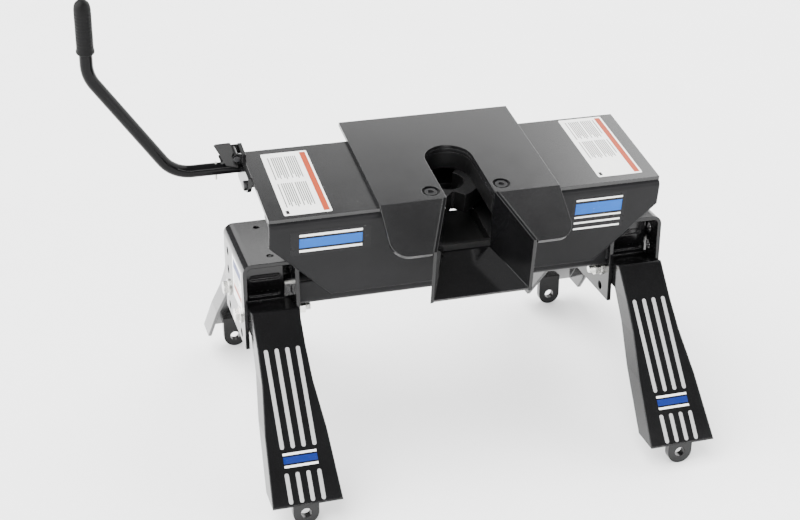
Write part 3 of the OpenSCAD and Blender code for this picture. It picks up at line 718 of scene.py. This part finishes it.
# A label's corner, its margin, and the two edges of its band from the right-hand side.
LABEL_CORNER, LABEL_MARGIN, BAND_INSIDE, BAND_OUTSIDE = 2.5, 4, 12, 3
BADGE_CORNER = 1.5
RULE_WIDTH, RULE_STEP, RULE_GAP, RULES_PER_BLOCK = 1.5, 3.1, 5.2, 6
RULE_CUTS = (0.0, 0.09, 0.03, 0.2, 0.06)


def care_label(tag, x0, x1, y0, y1, columns):
    """White label with a coloured edge band and rows of plain grey rules, no lettering."""
    decal(f"{tag}_sheet", [rounded(x0, x1, y0, y1, LABEL_CORNER)], PAPER, "head", HEAD)
    band = x1 - BAND_INSIDE
    edge = [bar(band, x1 - BAND_OUTSIDE, y0 + LABEL_MARGIN, y1 - LABEL_MARGIN)]
    decal(f"{tag}_band", edge, ORANGE_INK, "head", HEAD, ON_LABEL, BAND_THICK)
    rules = []
    height = y1 - y0
    for c0, c1 in columns:
        a, b = y0 + height * c0, y0 + height * c1
        x = x0 + 8
        k = 0
        while x < band - 5:
            cut = RULE_CUTS[k % len(RULE_CUTS)]
            rules.append(bar(x, x + RULE_WIDTH, a + (b - a) * cut, b))
            x += RULE_STEP if k % RULES_PER_BLOCK else RULE_GAP
            k += 1
    x, y = x0 + LABEL_MARGIN, y0 + LABEL_MARGIN
    printed(f"{tag}_rules", rules, GREY_INK, "head", HEAD)
    printed(f"{tag}_patch", [bar(x, x + 5, y, y + 9)], DARK_INK, "head", HEAD)


def badge(tag, box, x0, x1, rules, band):
    """Dark badge on the front apron with a blue band between plain white rules."""
    decal(f"{tag}_badge", [rounded(*box, BADGE_CORNER)], DARK_INK, "head", FRONT)
    printed(f"{tag}_rules", [bar(x0, x1, *z) for z in rules], WHITE_INK, "head", FRONT)
    printed(f"{tag}_band", [bar(x0, x1, *band)], PALE_BLUE_INK, "head", FRONT)


care_label("left_top_label", -277, -206, -90, 84, ((0.12, 0.5), (0.56, 0.93)))
care_label("right_top_label", 209, 281, -82, 93, ((0.3, 0.6), (0.64, 0.95)))

badge("left_front", (-271, -151, -62, -21.5), -258, -164,
      ((-30.5, -26.5), (-57, -53)), (-49.5, -34))
badge("right_front", (162, 249, -79.5, -15.5), 168, 243,
      [(z, z + 3) for z in (-26, -56, -66, -76.5)], (-49, -30))

# The left bracket's outer face: X towards the camera, Y up and Z to the left.
OUTER = Matrix(((0, 0, -1, -0.335), (-1, 0, 0, 0), (0, 1, 0, 0), (0, 0, 0, 1)))
lines = [bar(2, 56 - 9 * (k % 3), 263 + k * 3.2, 264 + k * 3.2) for k in range(7)]
decal("bracket_label_sheet", [rounded(-8, 64, 236, 306, 2)], PAPER, "base", OUTER)
printed("bracket_label_patch", [bar(0, 60, 286, 301)], BLUE_INK, "base", OUTER)
printed("bracket_label_band", [bar(0, 60, 252, 260)], ORANGE_INK, "base", OUTER)
printed("bracket_label_rules", lines, GREY_INK, "base", OUTER)

# ---------------------------------------------------------------- stage, light and camera

FLOOR_HALF, FLOOR_THICK = 60000, 4
PALE, PALER = (0.93, 0.93, 0.93), (0.95, 0.95, 0.95)
floor_mat = Nodes("floor_paint")
floor_mat.finish(
    Base_Color=floor_mat.mix(floor_mat.ramp(floor_mat.noise(3, 3), 0.3, 0.7), PALE, PALER),
    Roughness=0.6,
    Specular_IOR_Level=0.2,
)
bm = bmesh.new()
sheet_plate(bm, bar(-FLOOR_HALF, FLOOR_HALF, -FLOOR_HALF, FLOOR_HALF), -FLOOR_THICK, 0)
mesh = bpy.data.meshes.new("floor")
bmesh.ops.recalc_face_normals(bm, faces=bm.faces)
bm.to_mesh(mesh)
bm.free()
mesh.materials.append(floor_mat.mat)
floor = bpy.data.objects.new("floor", mesh)
bpy.context.scene.collection.objects.link(floor)
floor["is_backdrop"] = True


def softbox(name, at, aim, size, power):
    """A rectangular light, size (across, up) in metres, facing aim."""
    data = bpy.data.lights.new(name, "AREA")
    data.shape = "RECTANGLE"
    data.size, data.size_y = size
    data.energy = power
    obj = bpy.data.objects.new(name, data)
    bpy.context.scene.collection.objects.link(obj)
    obj.matrix_world = along(at, Vector(at) - Vector(aim))


def sky_panel(name, direction, spread, strength):
    """A far soft panel in that direction, spread degrees wide, lighting the whole floor evenly."""
    data = bpy.data.lights.new(name, "SUN")
    data.angle = math.radians(spread)
    data.energy = strength
    obj = bpy.data.objects.new(name, data)
    bpy.context.scene.collection.objects.link(obj)
    obj.matrix_world = along((0, 0, 3), direction)


softbox("back_panel", (0.9, 3.4, 2.55), (0.05, 0, 0.4), (4.4, 1.2), 46)
sky_panel("left_panel", (-0.78, -0.1, 0.62), 100, 15.5)
sky_panel("right_panel", (0.90, 0.22, 0.38), 88, 6.5)
softbox("front_strip", (0.9, -2.8, 1.75), (0, 0, 0.4), (2.6, 0.2), 60)

WORLD_LIGHT = 0.35
world = bpy.data.worlds.new("studio")
bpy.context.scene.world = world
world.use_nodes = True
background = world.node_tree.nodes["Background"]
background.inputs["Color"].default_value = (1, 1, 1, 1)
background.inputs["Strength"].default_value = WORLD_LIGHT

# The camera fitted to the photo: how far it looks down, and how far it is turned to the right.
LOOK_DOWN, TURN = 0.447, 0.280
cam_data = bpy.data.cameras.new("camera")
cam_data.sensor_width = 36.0
cam_data.lens = 69.67
cam_data.clip_end = 200
cam = bpy.data.objects.new("camera", cam_data)
cam.location = (-0.6769, -2.1055, 1.3128)
cam.rotation_euler = (math.pi / 2 - LOOK_DOWN, 0, -TURN)
bpy.context.scene.collection.objects.link(cam)
bpy.context.scene.camera = cam

low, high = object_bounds()
